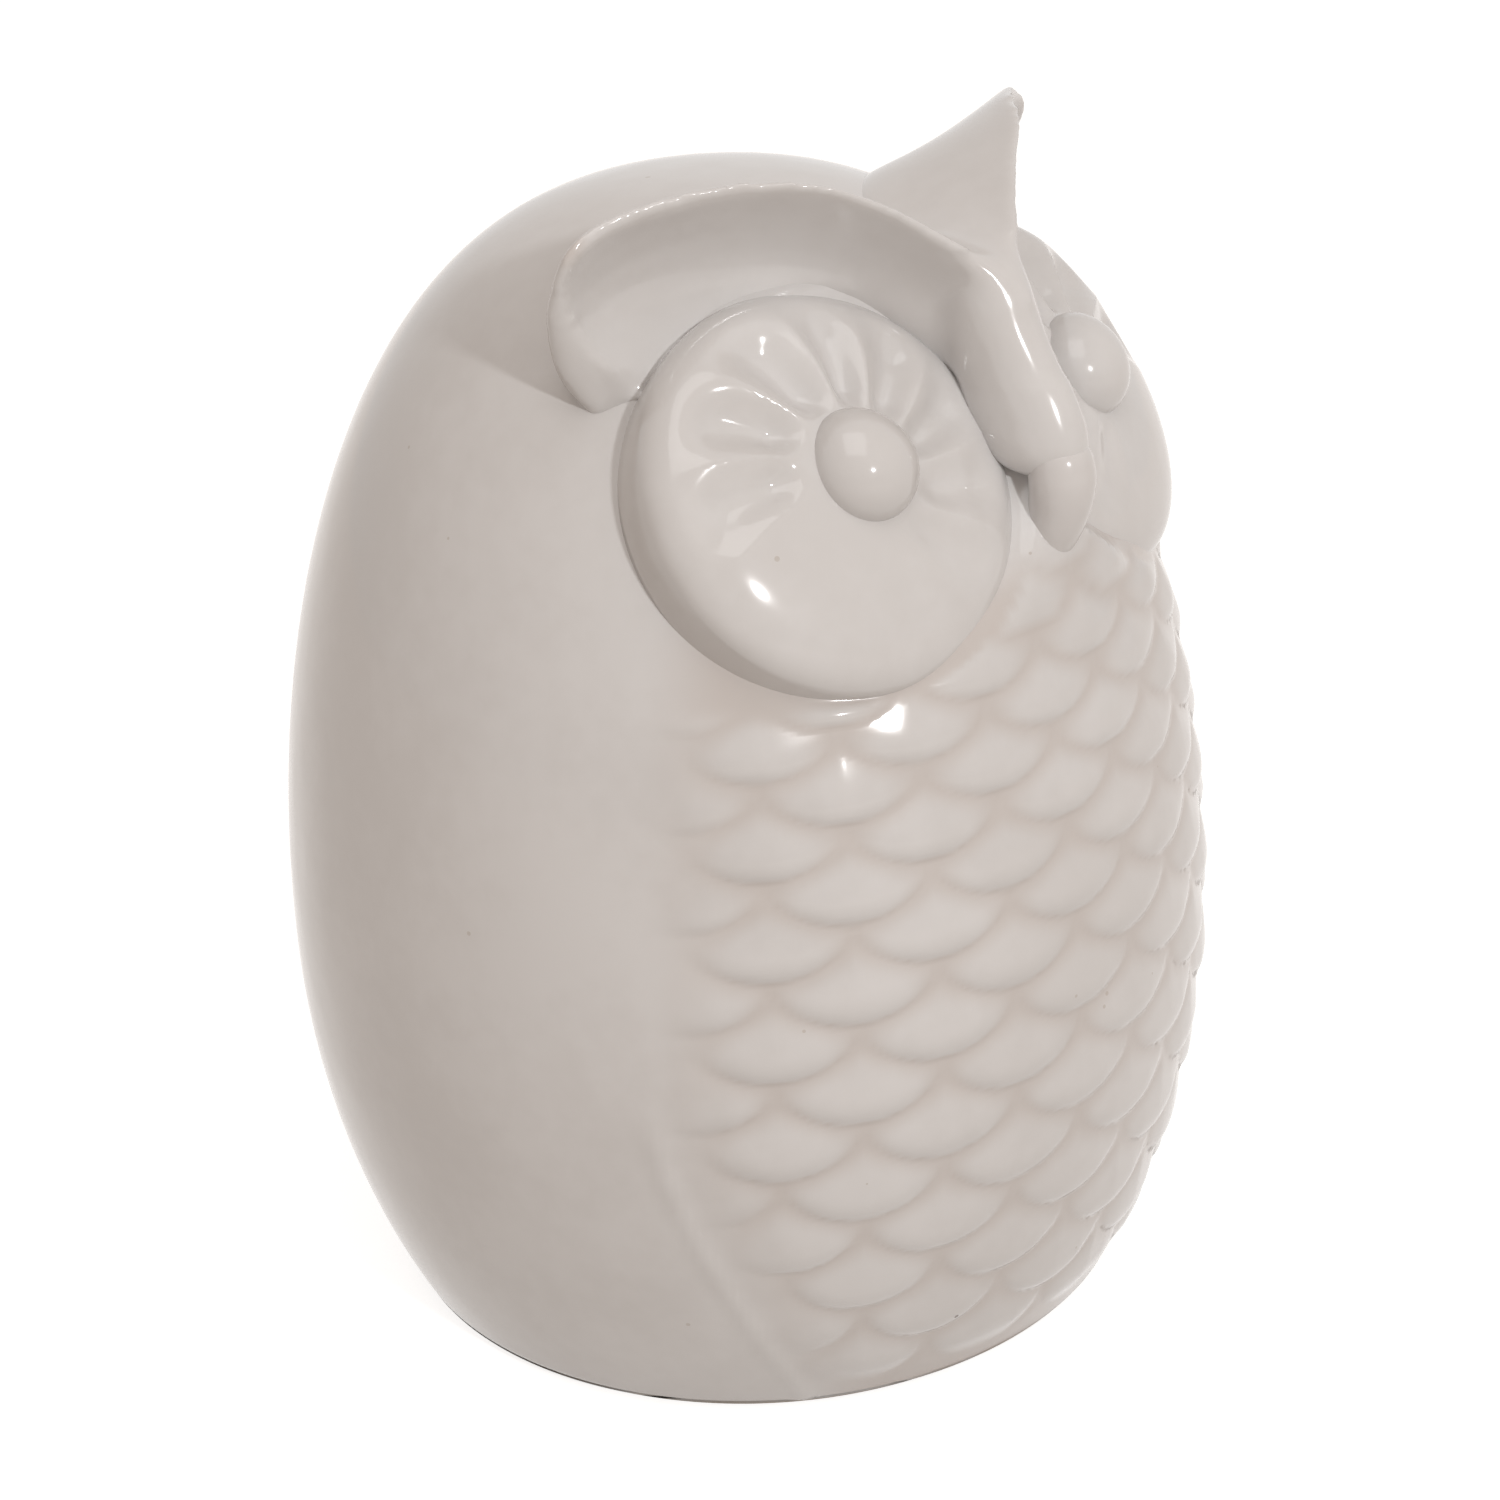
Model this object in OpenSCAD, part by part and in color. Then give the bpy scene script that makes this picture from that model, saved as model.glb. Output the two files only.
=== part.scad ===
// Owl figurine: a hollow glazed ceramic body with a fluted eye disc on each side of the
// beak, a brow that sweeps up into two ear tufts, and courses of feathers on the breast.
// The owl faces -Y and stands on its foot ring at Z = 0.

/* [Body] */
// Radius of the belly at its widest ring
belly_r = 74.5; // [67:0.5:84]
// Height of the widest ring of the belly
belly_z = 61.5; // [55:0.5:68]
// Radius of the foot
foot_r = 58; // [50:0.5:63]
// Rounding of the edge of the foot
foot_edge = 2; // [0.5:0.5:4]
// Height of the crown of the head
crown_z = 181; // [172:1:200]
// Thickness of the cast wall
wall_t = 4.5; // [3.5:0.5:6]
// Width of the unglazed ring that the owl stands on
foot_ring_w = 9; // [5:0.5:14]
// Depth of the hollow inside the foot ring
foot_recess = 1.6; // [0.6:0.2:3]
// Diameter of the vent hole in the base
vent_d = 3; // [2:0.5:3.5]

/* [Eyes] */
// Radius of an eye disc
eye_r = 29.3; // [26:0.1:30]
// Gap between the two discs, behind the beak
eye_gap = 0.3; // [0.2:0.1:2]
// Height of an eye disc's centre
eye_z = 148; // [140:0.5:150]
// How deep the plane of an eye disc lies in the curve of the head
eye_sink = 3; // [1:0.2:4]
// How far an eye disc looks to the side
eye_turn = 15; // [10:1:20]
// How far an eye disc looks up
eye_tilt = 34; // [28:1:40]
// Width of the rounded rim of an eye disc, from its edge to its crest
rim_w = 6.5; // [5:0.25:8]
// Height of the crest of the rim above the plane of the disc
rim_h = 3.4; // [2.6:0.1:4]
// Height of the face at the collar, above the plane of the disc
face_h = 2.5; // [2:0.1:2.8]
// Depth of the seat of an eye disc, below its plane
seat_depth = 2.5; // [2:0.25:3]
// Number of flutes in an eye disc
flute_count = 14; // [12:1:18]
// Width of a flute, as a share of its pitch
flute_share = 0.93; // [0.86:0.01:0.94]
// Depth of a flute beside the collar
flute_deep = 1.8; // [1.2:0.1:2]
// Depth of a flute where its round end starts
flute_shallow = 1.5; // [1:0.1:1.7]
// Distance of the foot of a flute from the collar
flute_inset = 3.2; // [3:0.1:4]
// Radius of the collar round the pupil
collar_r = 9.4; // [8.6:0.2:10.4]
// Height of the collar above the face
collar_h = 1.6; // [1:0.2:2.4]
// Radius of a pupil
pupil_r = 7.5; // [6:0.1:8.2]
// Height of a pupil above its collar
pupil_h = 6.6; // [4:0.2:8]

/* [Brow] */
// Rounding of the lip of the brow
lip_r = 3.4; // [2:0.2:4]
// Fullness of the back of the brow over the beak
brow_swell = 2.4; // [1.5:0.1:3]
// Depth of the hollow under the brow, as a share of its reach
cove_share = 0.72; // [0.6:0.02:0.76]
// Largest radius of the bridge between the eyes
bridge_r = 5.6; // [4.5:0.1:6]
// Height of the top of the bridge above the centres of the eyes
bridge_top = 16; // [14:0.5:16.5]
// Depth of the foot of the bridge below the centres of the eyes
bridge_foot = 4.5; // [3:0.5:6]
// How far the foot of the bridge's axis stands in front of the centres of the eyes
bridge_reach = 17.2; // [16:0.2:18]

/* [Beak] */
// Largest radius of the beak
beak_r = 4.9; // [4:0.1:5.4]
// Height of the top of the beak above the centres of the eyes
beak_top = 1; // [-1:0.5:2]
// Depth of the tip of the beak below the centres of the eyes
beak_tip = 18; // [15:0.5:20]
// How far the top of the beak's axis stands in front of the curve of the head
beak_lift = 7; // [6:0.2:7.6]
// How deep the tip of the beak lies in the curve of the head
beak_sink = 1.9; // [1:0.1:3]

/* [Feathers] */
// Height of the lower edge of the top course
first_row_z = 124; // [120:0.5:126]
// Step between the top courses
row_step = 6.3; // [5.8:0.1:6.6]
// Growth of the step from course to course
row_growth = 0.22; // [0.1:0.02:0.26]
// Bearing between a feather and the one beside it in the next course
column_step = 9.6; // [8:0.2:10.5]
// Thickness of a feather at its top
feather_thin = 0.6; // [0.5:0.1:1]
// Thickness of a feather at its fullest
feather_full = 1.6; // [1.3:0.1:2.6]
// Thickness of the lower edge of a feather
feather_edge = 0.9; // [0.6:0.1:1.2]
// Space round each feather
feather_gap = 0.15; // [0.1:0.05:0.4]

/* [Hidden] */

// Smoothness of the turned forms
$fn = 96;
// Colour of the glaze, and of the bare clay where it is thin
glaze = [0.86, 0.84, 0.81];
worn_glaze = [0.8, 0.78, 0.74];
// Space between pieces that are joined with slip
slip = 0.1;
// Powers of the curve from the belly to the crown
crown_p = 1.96;
crown_q = 2.6;
crown_len = crown_z - belly_z;
foot_len = belly_z / sqrt(1 - pow(foot_r / belly_r, 2));
// Lean of the wall where it meets the foot
foot_lean = atan(belly_r * belly_z / (pow(foot_len, 2) * foot_r / belly_r));
// The body's axis stands behind the origin by half of what the breast feathers add in front
axis_y = feather_full / 2;

// ---- the body's curve ----

// Radius of the body at height z, less a thickness t
function egg_r(z, t = 0) =
    z < belly_z
    ? (belly_r - t) * sqrt(1 - pow((belly_z - z) / foot_len, 2))
    : (belly_r - t) * pow(max(0, 1 - pow((z - belly_z) / (crown_len - t), crown_p)), 1 / crown_q);

// Height of the upper body at radius r
function egg_z(r) = belly_z + crown_len * pow(1 - pow(r / belly_r, crown_q), 1 / crown_p);

// Half outline of the body from height z0 to the crown, less a thickness t
function egg_outline(z0, t) =
    let (a0 = asin((belly_z - z0) / foot_len))
    concat(
        [for (i = [12:-1:1]) let (a = a0 * i / 12)
            [(belly_r - t) * cos(a), belly_z - foot_len * sin(a)]],
        [for (i = [0:25]) let (a = 90 * i / 25)
            [(belly_r - t) * pow(cos(a), 2 / crown_q), belly_z + (crown_len - t) * pow(sin(a), 2 / crown_p)]]
    );

// Rounded edge of the foot
function foot_outline() =
    let (cx = foot_r - foot_edge * tan(45 - foot_lean / 2))
    [for (i = [0:4]) let (a = -90 + (90 - foot_lean) * i / 4)
        [cx + foot_edge * cos(a), foot_edge + foot_edge * sin(a)]];

module egg_solid() {
    edge_top = foot_edge * (1 - sin(foot_lean));
    rotate_extrude()
        polygon(concat([[0, 0]], foot_outline(), egg_outline(edge_top + 0.01, 0)));
}

// ---- the frame of an eye: +Z looks out of the disc, +Y runs up its face ----

head_r = egg_r(eye_z);
eye_x = eye_r * cos(eye_turn) + eye_gap / 2;
eye_centre = [eye_x, -sqrt(pow(head_r - eye_sink, 2) - eye_x * eye_x), eye_z];
eye_side = [cos(eye_turn), sin(eye_turn), 0];
eye_up = [-sin(eye_turn) * sin(eye_tilt), cos(eye_turn) * sin(eye_tilt), cos(eye_tilt)];
eye_out = [sin(eye_turn) * cos(eye_tilt), -cos(eye_turn) * cos(eye_tilt), sin(eye_tilt)];

module at_eye() {
    translate(eye_centre)
        rotate([90 - eye_tilt, 0, eye_turn])
            children();
}

// Point of the eye's frame, in shares of the disc's radius: along its side, up its face and out of it
function eye_point(q) = eye_centre + eye_r * (q[0] * eye_side + q[1] * eye_up + q[2] * eye_out);

// Everything in front of the seat of an eye disc
module seat_space(r, depth) {
    at_eye()
        translate([0, 0, -depth])
            cylinder(r = r, h = 2 * eye_r);
}

// Everything on the far side of the middle plane, and half the gap between the discs
module past_middle() {
    translate([eye_gap / 2 - 2 * eye_r, -belly_r, 0])
        cube([2 * eye_r, belly_r, crown_z]);
}

module both_sides() {
    children();
    mirror([1, 0, 0])
        children();
}

// The body's outer form, with the two flat seats of the eye discs
module seated_body() {
    difference() {
        egg_solid();
        both_sides()
            seat_space(eye_r + slip, seat_depth);
    }
}

// ---- body ----

module cavity() {
    difference() {
        rotate_extrude()
            polygon(concat([[0, foot_recess + wall_t]], egg_outline(foot_recess + wall_t, wall_t)));
        both_sides()
            seat_space(2 * eye_r, seat_depth + wall_t);
    }
}

module body_shell() {
    color(glaze)
        translate([0, axis_y, 0])
            difference() {
                seated_body();
                cavity();
                translate([0, 0, -1])
                    cylinder(r = foot_r - foot_ring_w, h = foot_recess + 1);
                translate([0, 0, -1])
                    cylinder(d = vent_d, h = foot_recess + wall_t + 2);
            }
}

// ---- eyes ----

collar_top = face_h + collar_h;
flute_pitch = 360 / flute_count;
flute_start = collar_r + flute_inset;
// How far a flute runs over the rim, as a share of the way from the disc's edge to the crest
flute_over = 0.25;
// Distance where a flute's round end starts, so that the end just crosses the crest of the rim
flute_end = (eye_r - (1 - flute_over) * rim_w) / (1 + sin(flute_pitch / 2));
// Sweep of a flute's round end
flute_sweep = 78;
// Depth of the wall of a disc that goes into its seat
skirt = eye_r / 2;
// Drop from the plane of a disc to where its rim starts to round over
rim_foot = 1.5;
// Bevels at the foot and at the top of the collar
collar_foot = 0.5;
collar_bevel = 0.4;

// Height of a disc's face at distance rho
function face_at(rho) =
    face_h + (rim_h - face_h) * (rho - collar_r) / (eye_r - rim_w - collar_r);

// Radius of a round cutter for a flute at distance rho
function flute_r(rho, depth) =
    let (half = flute_share * rho * sin(flute_pitch / 2))
    (half * half + depth * depth) / (2 * depth);

module eye_disc_form() {
    rotate_extrude()
        polygon(concat(
            [[0, -skirt], [eye_r, -skirt]],
            [for (i = [0:9]) let (a = 10 * i)
                [eye_r - rim_w + rim_w * cos(a), -rim_foot + (rim_h + rim_foot) * sin(a)]],
            [[collar_r + collar_foot, face_h], [collar_r, face_h + collar_foot],
             [collar_r - collar_bevel, collar_top], [0, collar_top]]
        ));
}

// One scoop, a cone laid on its side that ends in a ball, deepest beside the collar
module flute() {
    ball_r = flute_r(flute_end, flute_shallow);
    low = face_at(flute_start) - flute_deep;
    rise = face_at(flute_end) - flute_shallow - low;
    slope = atan(rise / (flute_end - flute_start));
    side = norm([flute_end - flute_start, rise]);
    cone = atan((ball_r - flute_r(flute_start, flute_deep)) / side);
    r0 = flute_r(flute_start, flute_deep) * cos(cone);
    ball_at = side * cos(cone) - ball_r * sin(cone);
    lean = slope + cone;
    translate([flute_start - r0 * sin(lean), 0, low + r0 * cos(lean)])
        rotate([0, 90 - lean, 0])
            rotate_extrude($fn = 64)
                polygon(concat([[0, 0], [r0, 0]],
                    [for (i = [0:5]) let (a = cone + (flute_sweep - cone) * i / 5)
                        [ball_r * cos(a), ball_at + ball_r * sin(a)]],
                    [[0, ball_at + ball_r * sin(flute_sweep)]]));
}

module eye_disc() {
    color(glaze)
        translate([0, axis_y, 0])
            difference() {
                at_eye()
                    difference() {
                        eye_disc_form();
                        for (i = [0:flute_count - 1])
                            rotate([0, 0, (i + 0.5) * flute_pitch])
                                flute();
                    }
                seated_body();
                past_middle();
            }
}

module pupil() {
    color(glaze)
        translate([0, axis_y, 0])
            at_eye()
                translate([0, 0, collar_top])
                    rotate_extrude()
                        polygon(concat([[0, 0]],
                            [for (i = [0:12]) let (a = 90 * i / 12)
                                [pupil_r * cos(a), pupil_h * sin(a)]]));
}

// ---- brow ----

// Guide lines of the brow, from the bridge round the ear tuft and down to the foot of its outer
// edge. The ridge and the cove's foot are in the eye's frame, in shares of the disc's radius.
ridge_line = [
    [-1.033, 0.617, 0.561], [-0.902, 0.668, 0.57], [-0.687, 0.867, 0.582], [-0.416, 1.065, 0.612],
    [-0.11, 1.225, 0.614], [0.212, 1.343, 0.517], [0.547, 1.393, 0.394], [0.871, 1.384, 0.28],
    [1.075, 1.298, 0.194], [1.101, 1.172, -0.04], [1.073, 1.032, -0.229], [0.974, 0.862, -0.406],
    [0.817, 0.674, -0.511]
];
cove_line = [
    [-1.05, 0.402, 0.471], [-0.911, 0.388, 0.187], [-0.747, 0.616, 0.125], [-0.522, 0.847, 0.068],
    [-0.26, 0.976, 0.006], [0.028, 1.012, -0.073], [0.274, 0.993, -0.16], [0.486, 0.891, -0.228],
    [0.622, 0.749, -0.268], [0.661, 0.873, -0.342], [0.677, 1.027, -0.424], [0.78, 0.943, -0.482],
    [0.826, 0.735, -0.51]
];
// Plan of the line where the back of the brow meets the head, in shares of the head's radius
back_line = [
    [0, -0.503], [0.072, -0.449], [0.162, -0.377], [0.269, -0.305], [0.377, -0.242], [0.485, -0.198],
    [0.566, -0.167], [0.628, -0.153], [0.673, -0.149], [0.718, -0.153], [0.765, -0.165],
    [0.804, -0.194], [0.815, -0.251]
];
tuft_foot = len(ridge_line) - 1;
// The tip of the ear tuft is the ninth point of the ridge
tuft_tip = 8;
station_step = 0.5;
// Space between the hidden side of the brow and the head
bed = 0.3;
// From this point on the back of the brow loses its fullness, by this much for each point
swell_from = 3;
swell_loss = 0.8;
swell_least = 0.2;
// Loss of the hollow's depth for each point behind the tip of the tuft
cove_loss = 0.2;

function bezier2(a, b, c, t) = (1 - t) * (1 - t) * a + 2 * t * (1 - t) * b + t * t * c;

// Point of a smooth curve through the points p, t counted in points
function spline(p, t) =
    let (n = len(p),
         i = min(floor(t), n - 2),
         f = t - i,
         a = i == 0 ? 2 * p[0] - p[1] : p[i - 1],
         b = p[i],
         c = p[i + 1],
         d = i + 2 < n ? p[i + 2] : 2 * p[n - 1] - p[n - 2])
    b + (c - a) * f / 2 + (2 * a - 5 * b + 4 * c - d) * f * f / 2
    + (3 * b - a - 3 * c + d) * f * f * f / 2;

function unit(v) = v / norm(v);

head_middle = [0, 0, belly_z + crown_len * 0.4];

// Point of the head's surface seen from the middle of the head through p, raised by h
function on_head(p, h = 0, lo = 0.2, hi = 1.8, n = 18) =
    let (m = (lo + hi) / 2,
         q = head_middle + m * (p - head_middle))
    n == 0 ? q + h * unit(p - head_middle)
    : (q[2] > crown_z || norm([q[0], q[1]]) > egg_r(q[2]))
      ? on_head(p, h, lo, m, n - 1)
      : on_head(p, h, m, hi, n - 1);

// Keeps a point on the left of the middle plane of the face
function left_of_middle(p) = [max(p[0], slip / 2), p[1], p[2]];

// Closed section of the brow at t: up its back, over the lip, down the cove and back over the head
function brow_section(t) =
    let (ridge = eye_point(spline(ridge_line, t)),
         foot = eye_point(spline(cove_line, t)),
         cove = t < 1 ? foot : on_head(foot, bed),
         plan = head_r * spline(back_line, t),
         back = [plan[0], plan[1], egg_z(norm(plan)) + bed],
         lip_back = ridge + lip_r * (unit(back - ridge) * 3 - unit(cove - ridge)) / 4,
         lip_front = ridge + lip_r * (unit(cove - ridge) * 3 - unit(back - ridge)) / 4,
         lip = 2 * ridge - (lip_back + lip_front) / 2,
         swell = max(swell_least, brow_swell - swell_loss * max(0, t - swell_from)),
         belly = (back + lip_back) / 2 + swell * unit(ridge - on_head(ridge)),
         reach = ridge - cove,
         deep = cove_share - cove_loss * max(0, min(2, t - tuft_tip)),
         hollow = cove + deep * (reach - (reach * eye_out) * eye_out),
         inner = t < 1 ? 0.3 * (1 - t) : 0)
    [for (p = concat(
        [back],
        [for (f = [0.3, 0.65]) bezier2(back, belly, lip_back, f)],
        [for (f = [0, 0.35, 0.65, 1]) bezier2(lip_back, lip, lip_front, f)],
        [for (f = [0.25, 0.5, 0.75]) bezier2(lip_front, hollow, cove, f)],
        [cove],
        [for (f = [inner, 0.4, 0.7]) on_head(cove + f * (back - cove), bed)]
    )) left_of_middle(p)];

function sum(v, i = 0) = i == len(v) - 1 ? v[i] : v[i] + sum(v, i + 1);

// Solid through a list of closed sections of the same number of points
module loft(rings) {
    n = len(rings[0]);
    m = len(rings);
    middles = [sum(rings[0]) / n, sum(rings[m - 1]) / n];
    points = concat([for (r = rings) each r], middles);
    sides = [for (j = [0:m - 2], i = [0:n - 1])
        let (a = j * n + i, b = j * n + (i + 1) % n)
        each [[a, b, b + n], [a, b + n, a + n]]];
    first_cap = [for (i = [0:n - 1]) [m * n, (i + 1) % n, i]];
    last_cap = [for (i = [0:n - 1]) [m * n + 1, (m - 1) * n + i, (m - 1) * n + (i + 1) % n]];
    polyhedron(points = points, faces = concat(sides, first_cap, last_cap));
}

module brow_form() {
    loft([for (t = [0:station_step:tuft_foot]) brow_section(t)]);
}

module brow_crest() {
    color(glaze)
        translate([0, axis_y, 0])
            brow_form();
}

// Space of the two eye discs, up to the crests of their rims
module disc_space() {
    both_sides()
        at_eye()
            translate([0, 0, -seat_depth])
                cylinder(r = eye_r + eye_gap, h = seat_depth + rim_h + slip);
}

// Lean of the bridge back towards the brow
bridge_lean = 18;
// Powers of the bridge's outline: below 1 the first puts its fullest ring low down, and the
// second blunts its ends
bridge_low = 0.74;
bridge_blunt = 0.75;
// Radius of the bridge's root, as a share of the bridge's own, and its start behind the bridge's axis
root_share = 0.7;
root_back = 4;

// Drop of clay that hangs from the brow between the eyes, widest low down, grown by a space
module bridge_form(space = 0) {
    length = bridge_top + bridge_foot + 2 * space;
    translate([0, eye_centre[1] - bridge_reach, eye_z - bridge_foot - space])
        rotate([-bridge_lean, 0, 0])
            rotate_extrude($fn = 48)
                polygon([for (i = [0:18]) let (a = -90 + 180 * i / 18, t = (1 + sin(a)) / 2)
                    [(bridge_r + space) * pow(sin(180 * pow(t, bridge_low)), bridge_blunt), length * t]]);
}

// Root of the bridge, from the middle of the drop back to the head
module bridge_root() {
    translate([0, eye_centre[1] - bridge_reach, eye_z])
        rotate([-90, 0, 0])
            translate([0, -bridge_top / 3, root_back])
                cylinder(r = root_share * bridge_r, h = bridge_reach);
}

module brow_bridge() {
    color(glaze)
        translate([0, axis_y, 0])
            difference() {
                union() {
                    bridge_form();
                    bridge_root();
                }
                egg_solid();
                disc_space();
            }
}

// ---- beak ----

// Makes beak_r the largest radius of the drop whose outline is sqrt(t) * (1 - t)
drop_peak = 3 * sqrt(3) / 2;

// Drop-shaped beak that hangs in front of the head, its tip laid against it
module beak_form() {
    top_z = eye_z + beak_top;
    tip_z = eye_z - beak_tip;
    top_y = -egg_r(top_z) - beak_lift;
    tip_y = -egg_r(tip_z) + beak_sink;
    length = norm([top_y - tip_y, top_z - tip_z]);
    translate([0, top_y, top_z])
        rotate([180 - atan((top_y - tip_y) / (top_z - tip_z)), 0, 0])
            rotate_extrude($fn = 48)
                polygon([for (i = [0:16]) let (t = pow(i / 16, 1.5))
                    [max(0, drop_peak * beak_r * sqrt(t) * (1 - t)), t * length]]);
}

module beak() {
    color(worn_glaze)
        translate([0, axis_y, 0])
            difference() {
                beak_form();
                egg_solid();
                disc_space();
                bridge_form(slip);
            }
}

// ---- feathers ----

// Height of the lower edge of a course, counted from 1 at the top
function row_z(i) = first_row_z - row_step * (i - 1) - row_growth / 2 * (i - 1) * (i - 1);

// Bearings of the feathers of a course: odd courses straddle the middle, even courses start on it
function row_columns(i) =
    i == 1 ? [-1, 1]
    : i == 2 ? [-2, 0, 2]
    : i % 2 == 1 ? [-5, -3, -1, 1, 3, 5]
    : [-6, -4, -2, 0, 2, 4, 6];

// Rise of a feather's rounded lower edge at u, from -1 to 1 across it
function edge_rise(u) = 1 - sqrt(1 - min(1, u * u));

// Point of the body at a bearing and a height, raised by h
function on_body(bearing, z, h) =
    let (r = egg_r(z) + h)
    [r * sin(bearing), -r * cos(bearing), z];

// Where a feather is fullest on its way down, and how much of its fullness its sides lose
full_at = 0.8;
side_loss = 0.45;

// Thickness of a feather at u across it and v down it
function feather_h(u, v) =
    v == 1 ? feather_edge
    : feather_thin
      + (feather_full - feather_thin) * sin(90 * min(1, v / full_at)) * (1 - side_loss * u * u);

module feather(i, column) {
    across = 6;
    down = [0, 0.5, 0.86, 1];
    span = 0.96;
    step = row_z(i) - row_z(i + 1);
    step_above = row_z(i - 1) - row_z(i);
    n = across + 1;
    m = len(down);
    us = [for (k = [0:across]) -span + 2 * span * k / across];
    function place(u, v, h) =
        let (top = row_z(i - 1) + step_above * edge_rise(1 - abs(u)) - feather_gap,
             low = row_z(i) + step_above * edge_rise(u) + feather_gap)
        on_body((column + u) * column_step, top + (low - top) * v, h);
    points = concat(
        [for (v = down, u = us) place(u, v, feather_h(u, v))],
        [for (v = down, u = us) place(u, v, slip)]
    );
    front = [for (j = [0:m - 2], k = [0:across - 1]) let (a = j * n + k)
        each [[a, a + 1, a + n + 1], [a, a + n + 1, a + n]]];
    rear = [for (j = [0:m - 2], k = [0:across - 1]) let (a = m * n + j * n + k)
        each [[a, a + n + 1, a + 1], [a, a + n, a + n + 1]]];
    rim = concat(
        [for (k = [0:across]) k],
        [for (j = [1:m - 1]) j * n + across],
        [for (k = [across - 1:-1:0]) (m - 1) * n + k],
        [for (j = [m - 2:-1:1]) j * n]
    );
    edge = [for (k = [0:len(rim) - 1])
        let (a = rim[k], b = rim[(k + 1) % len(rim)])
        each [[a, a + m * n, b + m * n], [a, b + m * n, b]]];
    polyhedron(points = points, faces = concat(front, rear, edge));
}

module feather_row(i) {
    color(glaze)
        translate([0, axis_y, 0])
            for (column = row_columns(i))
                feather(i, column);
}

// A course that is tucked against the lower edges of the eye discs
module tucked_row(i) {
    color(glaze)
        translate([0, axis_y, 0])
            difference() {
                union()
                    for (column = row_columns(i))
                        feather(i, column);
                both_sides()
                    seat_space(eye_r + feather_gap, belly_r / 3);
            }
}

body_shell();
mirror([1, 0, 0]) eye_disc();  // right_eye_disc
eye_disc();  // left_eye_disc
mirror([1, 0, 0]) pupil();  // right_pupil
pupil();  // left_pupil
mirror([1, 0, 0]) brow_crest();  // right_brow_crest
brow_crest();  // left_brow_crest
brow_bridge();
beak();
tucked_row(1);  // feather_row_01
tucked_row(2);  // feather_row_02
feather_row(3);  // feather_row_03
feather_row(4);  // feather_row_04
feather_row(5);  // feather_row_05
feather_row(6);  // feather_row_06
feather_row(7);  // feather_row_07
feather_row(8);  // feather_row_08
feather_row(9);  // feather_row_09
feather_row(10);  // feather_row_10
feather_row(11);  // feather_row_11
feather_row(12);  // feather_row_12
feather_row(13);  // feather_row_13
feather_row(14);  // feather_row_14
feather_row(15);  // feather_row_15
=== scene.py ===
import bmesh
import bpy
from math import asin, atan2, cos, degrees, exp, hypot, pi, radians, sin, sqrt
from mathutils import Matrix, Vector


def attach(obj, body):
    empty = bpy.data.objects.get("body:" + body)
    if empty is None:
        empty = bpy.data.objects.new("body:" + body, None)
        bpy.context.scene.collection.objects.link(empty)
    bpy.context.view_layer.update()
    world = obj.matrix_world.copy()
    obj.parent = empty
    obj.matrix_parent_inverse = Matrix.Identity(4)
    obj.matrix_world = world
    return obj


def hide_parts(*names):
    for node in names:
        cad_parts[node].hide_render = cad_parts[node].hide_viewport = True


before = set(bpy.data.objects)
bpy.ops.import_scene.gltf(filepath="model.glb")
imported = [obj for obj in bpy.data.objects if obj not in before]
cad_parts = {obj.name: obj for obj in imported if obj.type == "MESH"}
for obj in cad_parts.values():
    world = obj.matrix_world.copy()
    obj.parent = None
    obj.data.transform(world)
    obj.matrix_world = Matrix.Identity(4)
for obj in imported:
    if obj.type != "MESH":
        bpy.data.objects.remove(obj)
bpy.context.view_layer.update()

# ---- Body casting ----
# The hollow egg-shaped body of a slip-cast owl in white stoneware. The breast feathers are
# carved in the mould, so here they are one skin with the body; the glaze rounds them over.
# It stands on a flat ring from which the glaze was wiped before firing.
mm = 0.001
axis_y = 0.8 * mm
belly_radius = 74.5 * mm
belly_height = 61.5 * mm
crown_height = 181 * mm
crown_length = crown_height - belly_height
crown_rise_power = 1.96
crown_round_power = 2.6
foot_radius = 60.5 * mm
foot_length = belly_height / sqrt(1 - (foot_radius / belly_radius) ** 2)
foot_corner = 2 * mm
foot_corner_top = 1.9 * mm
foot_ring_outer = foot_radius - 1.05 * foot_corner
foot_ring_inner = 49 * mm
foot_recess = 1.6 * mm
recess_slope = 0.4 * mm
vent_radius = 1.5 * mm
vent_depth = 7 * mm


def body_radius(z):
    """Radius of the body at a height: an ellipse down to the foot, a fuller curve up to the crown."""
    if z < belly_height:
        return belly_radius * sqrt(1 - ((belly_height - z) / foot_length) ** 2)
    rise = max(0, 1 - ((z - belly_height) / crown_length) ** crown_rise_power)
    return belly_radius * rise ** (1 / crown_round_power)


def body_normal(bearing, z):
    """Direction square to the body's wall at a bearing, in radians from the front, and a height."""
    step = 0.2 * mm
    lean = atan2(body_radius(z - step) - body_radius(min(z + step, crown_height)), 2 * step)
    return Vector((sin(bearing) * cos(lean), -cos(bearing) * cos(lean), sin(lean)))


def smooth(t):
    """A soft step: 0 up to t = 0, and 1 from t = 1."""
    t = min(1, max(0, t))
    return t * t * (3 - 2 * t)


# The frame of an eye: side points out to the ear, up runs up the face, out looks forward
eye_turn = radians(15)
eye_tilt = radians(34)
eye_centre = Vector((28.45 * mm, axis_y - 45.7 * mm, 148 * mm))
eye_side = Vector((cos(eye_turn), sin(eye_turn), 0))
eye_out = Vector((sin(eye_turn) * cos(eye_tilt), -cos(eye_turn) * cos(eye_tilt), sin(eye_tilt)))
eye_up = eye_out.cross(eye_side)
disc_radius = 29.6 * mm


def in_eye(point):
    """How far a point lies across, up and out from the middle of the disc on its own side."""
    d = Vector((abs(point.x), point.y, point.z)) - eye_centre
    return d.dot(eye_side), d.dot(eye_up), d.dot(eye_out)


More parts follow.
